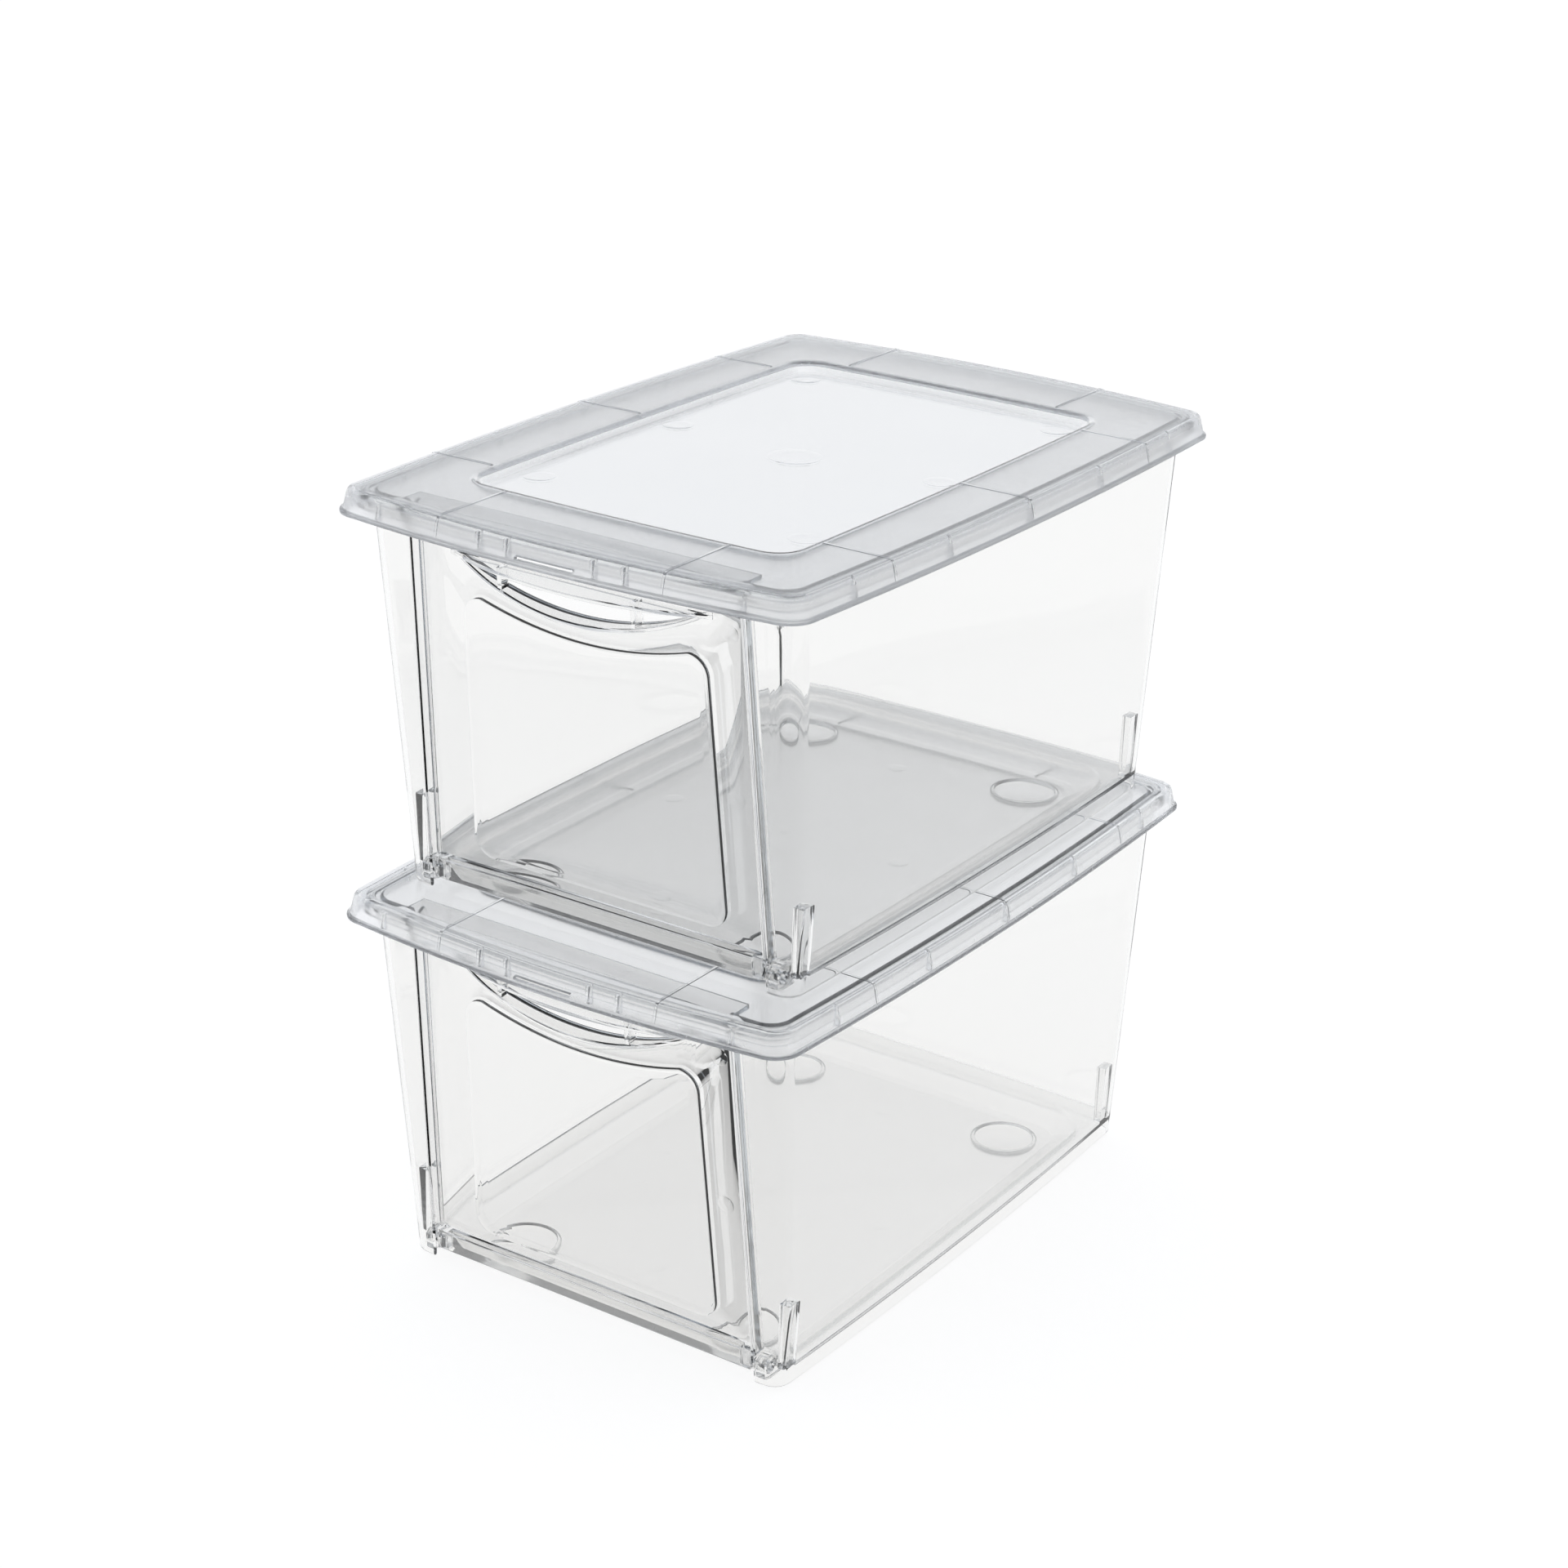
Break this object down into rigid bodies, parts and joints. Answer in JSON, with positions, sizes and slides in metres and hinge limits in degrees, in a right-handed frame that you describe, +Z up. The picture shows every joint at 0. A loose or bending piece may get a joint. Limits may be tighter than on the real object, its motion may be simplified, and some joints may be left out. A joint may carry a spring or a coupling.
{
  "type": "stacking front-door storage bin",
  "caption": "Two stacked clear plastic bins, each a tapered tub with a drop-down front door with a finger pull and a frosted lift-off lid with a sunk panel.",
  "frame": {"origin": "on the table under the middle of the stack", "axes": "+X is right seen from the doors, the doors face -Y, +Z is up"},
  "size_m": [0.2334, 0.345, 0.3537],
  "materials": {
    "tub_clear": "clear",
    "door_clear": "clear",
    "lid_frosted": "frosted translucent"
  },
  "bodies": {
    "lower_tub": {"lower_tub": "tub_clear"},
    "lower_door": {"lower_door": "door_clear"},
    "lower_lid": {"lower_lid": "lid_frosted"},
    "upper_tub": {"upper_tub": "tub_clear"},
    "upper_door": {"upper_door": "door_clear"},
    "upper_lid": {"upper_lid": "lid_frosted"}
  },
  "joints": [
    {"name": "lower_door_hinge", "type": "hinge", "parent": "lower_tub", "child": "lower_door", "pos_m": [0, -0.13157, 0.009], "axis": [1, 0, 0], "range_deg": [0, 80]},
    {"name": "lower_lid_lift", "type": "slide", "parent": "lower_tub", "child": "lower_lid", "axis": [0, 0, 1], "range_m": [0, 0.06]},
    {"name": "upper_bin_lift", "type": "slide", "parent": "lower_lid", "child": "upper_tub", "axis": [0, 0, 1], "range_m": [0, 0.06]},
    {"name": "upper_door_hinge", "type": "hinge", "parent": "upper_tub", "child": "upper_door", "pos_m": [0, -0.13157, 0.185], "axis": [1, 0, 0], "range_deg": [0, 80]},
    {"name": "upper_lid_lift", "type": "slide", "parent": "upper_tub", "child": "upper_lid", "axis": [0, 0, 1], "range_m": [0, 0.06]}
  ]
}
